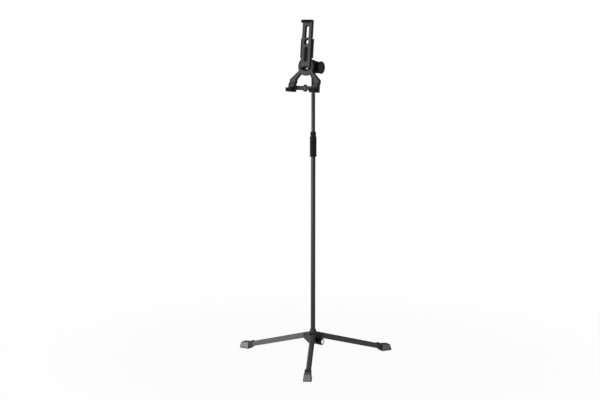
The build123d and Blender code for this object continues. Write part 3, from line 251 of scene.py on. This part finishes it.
hub_enamel = coating(
    "hub_enamel",
    dark=(0.05, 0.05, 0.051),
    light=(0.075, 0.075, 0.076),
    roughness=(0.55, 0.65),
    sheen=0.05,
    grain_size=0.0009,
    patch_size=0.012,
    bump=0.00004,
    edge_width=0.0008,
    edge_wear_and_shade_tone=(0.03, 0.03, 0.031),
    edge_mask="Worn",
    dust=0.04,
)
paint(hub_enamel, "hub_casting")

# Legs: three channels with a rounded back, bent from steel sheet and sprayed in satin black enamel.
# Each one turns on a rivet between two cheeks of the hub.
leg_enamel = coating(
    "leg_enamel",
    # The grey of these tones is a painted reflection of the satin black enamel, which gets no reflection
    # of its own.
    dark=(0.105, 0.105, 0.107),
    light=(0.135, 0.135, 0.137),
    roughness=(0.5, 0.6),
    sheen=0.0,
    grain_size=0.0012,
    patch_size=0.02,
    bump=0.00002,
    edge_width=0.0006,
    edge_wear_and_shade_tone=(0.03, 0.03, 0.031),
    edge_mask="Worn",
    dust=0.0,
)
paint(leg_enamel, "leg_left", "leg_front", "leg_right")


# Rivets and pins: turned from steel bar and blackened, with fine lines left by the tool. The legs turn
# on the rivets, whose heads are closed outside the cheeks, and fixed cross pins stand behind them.
def worked_metal(name, colour, roughness, line_size, stretch):
    """Bare or plated metal: fine lines from its working, with uneven tone and gloss."""
    line_depth = 0.00002
    patch_size = 0.004
    dulling = 0.8
    dulled = [channel * dulling for channel in colour]
    material, tree, shader = start_material(name)
    shader.inputs["Metallic"].default_value = 1.0
    place = tree.nodes.new("ShaderNodeTexCoord")
    drawn_out = tree.nodes.new("ShaderNodeMapping")
    drawn_out.inputs["Scale"].default_value = stretch
    tree.links.new(place.outputs["Object"], drawn_out.inputs["Vector"])
    lines = speckle(tree, drawn_out.outputs["Vector"], 1.0 / line_size, detail=4.0)
    grain = place_effect(tree, grain_effect, {"Patch size": patch_size})
    tone = blend(tree, grain["Variation"], (*dulled, 1.0), (*colour, 1.0))
    tree.links.new(tone, shader.inputs["Base Color"])
    gloss = rescale(tree, lines, low=roughness[0], high=roughness[1])
    tree.links.new(gloss, shader.inputs["Roughness"])
    raise_relief(tree, shader, lines, line_depth)
    return material


black_steel = worked_metal(
    "black_steel",
    colour=(0.022, 0.022, 0.024),
    roughness=(0.34, 0.52),
    line_size=0.0008,
    stretch=(1.0, 1.0, 1.0),
)
paint(black_steel, "leg_pivot_rivets", "leg_stop_pins")

# Rubber feet: smooth black rubber boots, each moulded as a solid block with a groove and a collar behind
# it, and pushed over the end of its leg, which it grips. Collars and rims carry a painted shade, darker
# than the blocks.
foot_rubber = coating(
    "foot_rubber",
    dark=(0.205, 0.205, 0.207),
    light=(0.255, 0.255, 0.257),
    roughness=(0.6, 0.75),
    sheen=0.0,
    grain_size=0.0005,
    patch_size=0.015,
    bump=0.00002,
    edge_width=0.004,
    # Painted shade: a darker tone along the collars and rims.
    edge_wear_and_shade_tone=(0.075, 0.075, 0.076),
    edge_mask="Edge",
    dust=0.04,
)
paint(foot_rubber, "foot_left", "foot_front", "foot_right")

# Knobs: the lobed clamp knob of the hub and the fluted tilt knob beside the holder, both moulded in matt
# black plastic. One is moulded on its steel stud, the other round a brass nut.
knob_plastic = coating(
    "knob_plastic",
    dark=(0.006, 0.006, 0.007),
    light=(0.012, 0.012, 0.013),
    roughness=(0.6, 0.75),
    sheen=0.1,
    grain_size=0.0006,
    patch_size=0.008,
    bump=0.00005,
    edge_width=0.0008,
    edge_wear_and_shade_tone=(0.02, 0.02, 0.021),
    edge_mask="Worn",
    dust=0.03,
)
paint(knob_plastic, "base_knob", "tilt_knob")

# Cap of the clamp knob: a small dome with a bright nickel finish, pressed into a seat in the knob's
# outer end.
cap_nickel = worked_metal(
    "cap_nickel",
    colour=(0.82, 0.81, 0.79),
    roughness=(0.1, 0.22),
    line_size=0.0015,
    stretch=(1.0, 1.0, 1.0),
)
paint(cap_nickel, "base_knob_cap")

# Pole tubes: two steel tubes in satin black powder coat. The lower one stands in the hub, and the upper
# one slides and turns in it.
tube_coat = coating(
    "tube_coat",
    dark=(0.022, 0.022, 0.023),
    light=(0.03, 0.03, 0.031),
    roughness=(0.24, 0.3),
    sheen=0.17,
    grain_size=0.0014,
    patch_size=0.05,
    bump=0.00001,
    edge_width=0.0003,
    edge_wear_and_shade_tone=(0.03, 0.03, 0.031),
    edge_mask="Worn",
    dust=0.02,
)
paint(tube_coat, "lower_tube", "upper_tube")

# Twist clutch: a sleeve fixed on the lower tube and a ring that closes it above, moulded in matt black
# plastic, and between them a ribbed grip in rubber of the same finish that turns on the sleeve.
clutch_plastic = coating(
    "clutch_plastic",
    dark=(0.008, 0.008, 0.009),
    light=(0.014, 0.014, 0.015),
    roughness=(0.6, 0.75),
    sheen=0.1,
    grain_size=0.0006,
    patch_size=0.01,
    bump=0.00004,
    edge_width=0.0006,
    edge_wear_and_shade_tone=(0.02, 0.02, 0.021),
    edge_mask="Worn",
    dust=0.04,
)
paint(clutch_plastic, "clutch_body", "clutch_top_ring", "clutch_grip")

# Tilt joint: moulded in matt black plastic. A head is pinned on the upper tube, and a bracket turns about
# the bolt beside it. The cover screwed on behind the arm's guide is of the same plastic.
joint_plastic = coating(
    "joint_plastic",
    dark=(0.008, 0.008, 0.009),
    light=(0.016, 0.016, 0.017),
    roughness=(0.6, 0.75),
    sheen=0.1,
    grain_size=0.0007,
    patch_size=0.01,
    bump=0.00005,
    edge_width=0.0008,
    edge_wear_and_shade_tone=(0.02, 0.02, 0.021),
    edge_mask="Worn",
    dust=0.05,
)
paint(joint_plastic, "tilt_head", "tilt_bracket", "guide_cover")

# Holder frame: dark grey glass-filled nylon with a fine matt grain, moulded in one piece with its disc,
# guide, crossbar and ledges. Its thin rims and lips carry a painted shade, darker than the fronts.
frame_plastic = coating(
    "frame_plastic",
    dark=(0.07, 0.07, 0.072),
    light=(0.095, 0.095, 0.098),
    roughness=(0.72, 0.85),
    sheen=0.1,
    grain_size=0.0007,
    patch_size=0.012,
    bump=0.00005,
    edge_width=0.0052,
    # Painted shade: a near-black tone along thin rims and lips.
    edge_wear_and_shade_tone=(0.006, 0.006, 0.007),
    edge_mask="Edge",
    dust=0.03,
)
paint(frame_plastic, "holder_frame")

# Sliding arm: a plate with a hook, moulded in the same nylon, that slides in the frame's guide. The
# hook's lip and the floor of the arm's groove carry a painted shade, darker than its front.
arm_plastic = coating(
    "arm_plastic",
    dark=(0.07, 0.07, 0.072),
    light=(0.095, 0.095, 0.098),
    roughness=(0.72, 0.85),
    sheen=0.1,
    grain_size=0.0007,
    patch_size=0.012,
    bump=0.00005,
    edge_width=0.0036,
    # Painted shade: a near-black tone on the hook's lip and along the groove.
    edge_wear_and_shade_tone=(0.006, 0.006, 0.007),
    edge_mask="Edge",
    dust=0.03,
)
paint(arm_plastic, "slider_arm")

# Rubber pads: thin matt black rubber, cut to shape and glued where the tablet touches: on the floors of
# the two ledges and in a pocket of the hook.
pad_rubber = coating(
    "pad_rubber",
    dark=(0.012, 0.012, 0.012),
    light=(0.02, 0.02, 0.02),
    roughness=(0.7, 0.85),
    sheen=0.3,
    grain_size=0.0004,
    patch_size=0.006,
    bump=0.00006,
    edge_width=0.0004,
    edge_wear_and_shade_tone=(0.025, 0.025, 0.025),
    edge_mask="Worn",
    dust=0.06,
)
paint(pad_rubber, "hook_pad", "ledge_pad_left", "ledge_pad_right")

# Plated hardware: steel with a zinc plating. It takes in the tilt bolt and its washer, the screws, the
# head's pin, the turntable's retaining ring, the arm's brake spring and the clamp knob's stud.
zinc_steel = worked_metal(
    "zinc_steel",
    colour=(0.55, 0.55, 0.57),
    roughness=(0.22, 0.4),
    line_size=0.0006,
    stretch=(1.0, 1.0, 0.2),
)
paint(
    zinc_steel,
    "tilt_bolt",
    "tilt_bolt_washer",
    "turntable_screws",
    "guide_cover_screws",
    "turntable_retainer",
    "hub_clamp_screw",
    "tilt_head_pin",
    "arm_brake_spring",
)

# Knob insert: a brass nut with fine rings left by the turning tool, held in the moulding of the tilt
# knob. The bolt runs in its thread.
turned_brass = worked_metal(
    "turned_brass",
    colour=(0.72, 0.56, 0.25),
    roughness=(0.2, 0.35),
    line_size=0.0005,
    stretch=(0.1, 1.0, 1.0),
)
paint(turned_brass, "tilt_knob_insert")

# Inner plastic parts: moulded in off-white nylon and pressed or slipped in, nearly all out of sight. They
# are the collet, guide bush, tube plug, washers of the legs and turntable, and pad of the clamp screw.
nylon = coating(
    "nylon",
    dark=(0.5, 0.49, 0.45),
    light=(0.62, 0.61, 0.56),
    roughness=(0.4, 0.55),
    sheen=0.5,
    grain_size=0.0006,
    patch_size=0.006,
    bump=0.00003,
    edge_width=0.0003,
    edge_wear_and_shade_tone=(0.6, 0.59, 0.54),
    edge_mask="Worn",
    dust=0.0,
)
paint(
    nylon,
    "hub_pressure_pad",
    "leg_friction_washers",
    "lower_tube_plug",
    "clutch_collet",
    "upper_tube_bush",
    "turntable_washer",
)

# Friction lining: brown-grey pressed fibre, punched from sheet. One disc sits in the tilt joint, and one
# round pad is pressed on the arm from behind by its spring.
lining = coating(
    "lining",
    dark=(0.04, 0.036, 0.032),
    light=(0.1, 0.09, 0.08),
    roughness=(0.75, 0.9),
    sheen=0.3,
    grain_size=0.0008,
    patch_size=0.0015,
    bump=0.00008,
    edge_width=0.0003,
    edge_wear_and_shade_tone=(0.1, 0.09, 0.08),
    edge_mask="Worn",
    dust=0.0,
)
paint(lining, "tilt_friction_disc", "arm_brake_pad")


# Floor: one wide, plain, pale sheet. The camera and glossy pieces see it nearly white, with a faint
# shadow round the stand, and wholly white further out, where it meets the room.
def show_white_backdrop(tree, lit, white, share=1.0):
    """Mix a lit shader with a white one for the rays that show the backdrop, and return the mix."""
    rays = tree.nodes.new("ShaderNodeLightPath").outputs
    mirrored = combine(tree, "MAXIMUM", rays["Is Glossy Ray"], rays["Is Transmission Ray"])
    shown = combine(tree, "MAXIMUM", rays["Is Camera Ray"], mirrored)
    choice = tree.nodes.new("ShaderNodeMixShader")
    tree.links.new(combine(tree, "MULTIPLY", shown, share), choice.inputs["Fac"])
    tree.links.new(lit, choice.inputs[1])
    tree.links.new(white, choice.inputs[2])
    return choice.outputs["Shader"]


floor_reach = 6.0
floor_grey = (0.6, 0.6, 0.6, 1.0)
floor_roughness = 0.8
shadow_reach = 2.0
white_at_stand = 0.95
white_further_out = 1.0
floor_mesh = bpy.data.meshes.new("floor")
floor_mesh.from_pydata(
    [
        (-floor_reach, -floor_reach, 0.0),
        (floor_reach, -floor_reach, 0.0),
        (floor_reach, floor_reach, 0.0),
        (-floor_reach, floor_reach, 0.0),
    ],
    [],
    [(0, 1, 2, 3)],
)
floor = bpy.data.objects.new("floor", floor_mesh)
bpy.context.scene.collection.objects.link(floor)
floor_paint, floor_tree, floor_shader = start_material("floor_paint")
floor_shader.inputs["Base Color"].default_value = floor_grey
floor_shader.inputs["Roughness"].default_value = floor_roughness
floor_white = floor_tree.nodes.new("ShaderNodeEmission")
floor_place = floor_tree.nodes.new("ShaderNodeTexCoord")
shadow_size = floor_tree.nodes.new("ShaderNodeMapping")
shadow_size.inputs["Scale"].default_value = [1.0 / shadow_reach] * 3
floor_tree.links.new(floor_place.outputs["Object"], shadow_size.inputs["Vector"])
near_stand = floor_tree.nodes.new("ShaderNodeTexGradient")
near_stand.gradient_type = "SPHERICAL"
floor_tree.links.new(shadow_size.outputs["Vector"], near_stand.inputs["Vector"])
floor_look = show_white_backdrop(
    floor_tree,
    floor_shader.outputs["BSDF"],
    floor_white.outputs["Emission"],
    rescale(floor_tree, near_stand.outputs["Fac"], low=white_further_out, high=white_at_stand),
)
floor_tree.links.new(floor_look, floor_tree.nodes["Material Output"].inputs["Surface"])
floor_mesh.materials.append(floor_paint)

# Room: dim, even light from all round, and plain white wherever the camera or a glossy piece looks past
# the floor.
room_strength = 0.09
plain_white = (1.0, 1.0, 1.0, 1.0)
world = bpy.data.worlds.new("studio")
bpy.context.scene.world = world
world.use_nodes = True
room_tree = world.node_tree
room = room_tree.nodes["Background"]
room.inputs["Color"].default_value = plain_white
room.inputs["Strength"].default_value = room_strength
backdrop = room_tree.nodes.new("ShaderNodeBackground")
backdrop.inputs["Color"].default_value = plain_white
room_look = show_white_backdrop(room_tree, room.outputs["Background"], backdrop.outputs["Background"])
room_tree.links.new(room_look, room_tree.nodes["World Output"].inputs["Surface"])

# Camera: it stands well to the right of the holder's front, level with the top of the holder, and looks
# slightly down, so that the whole stand fills the height of the picture.
camera_azimuth = radians(34.1)
camera_distance = 5.1
camera_height = 1.3
camera_pitch = radians(7.551)
camera_sidestep = 0.0504
camera_lens = 80.36
camera_sensor = 36.0
toward_camera = Vector((sin(camera_azimuth), -cos(camera_azimuth), 0.0))
camera_right = Vector((cos(camera_azimuth), sin(camera_azimuth), 0.0))
camera_data = bpy.data.cameras.new("camera")
camera_data.lens = camera_lens
camera_data.sensor_width = camera_sensor
camera = bpy.data.objects.new("camera", camera_data)
camera.location = (
    toward_camera * camera_distance - camera_right * camera_sidestep + Vector((0, 0, camera_height))
)
camera.rotation_euler = (pi / 2 - camera_pitch, 0.0, camera_azimuth)
bpy.context.scene.collection.objects.link(camera)
bpy.context.scene.camera = camera


# Studio lights: a wide, low key softbox in front on the left, a small weak one close to the floor on the
# right, and a wide weak one behind that shapes the back. Colours are shown plainly, as they are written.
def softbox(name, azimuth, distance, height, width, tall, power):
    """A rectangular area light that faces the pole from a direction round it."""
    light = bpy.data.lights.new(name, "AREA")
    light.shape = "RECTANGLE"
    light.size = width
    light.size_y = tall
    light.energy = power
    lamp = bpy.data.objects.new(name, light)
    turn = radians(azimuth)
    lamp.location = (sin(turn) * distance, -cos(turn) * distance, height)
    lamp.rotation_euler = (pi / 2, 0.0, turn)
    bpy.context.scene.collection.objects.link(lamp)


softbox("key_light", azimuth=-27.0, distance=2.6, height=0.42, width=3.8, tall=0.76, power=96)
softbox("low_light", azimuth=82.0, distance=1.7, height=0.14, width=1.5, tall=0.2, power=4)
softbox("back_light", azimuth=165.0, distance=2.8, height=1.0, width=2.2, tall=1.6, power=13)

bpy.context.scene.view_settings.view_transform = "Standard"
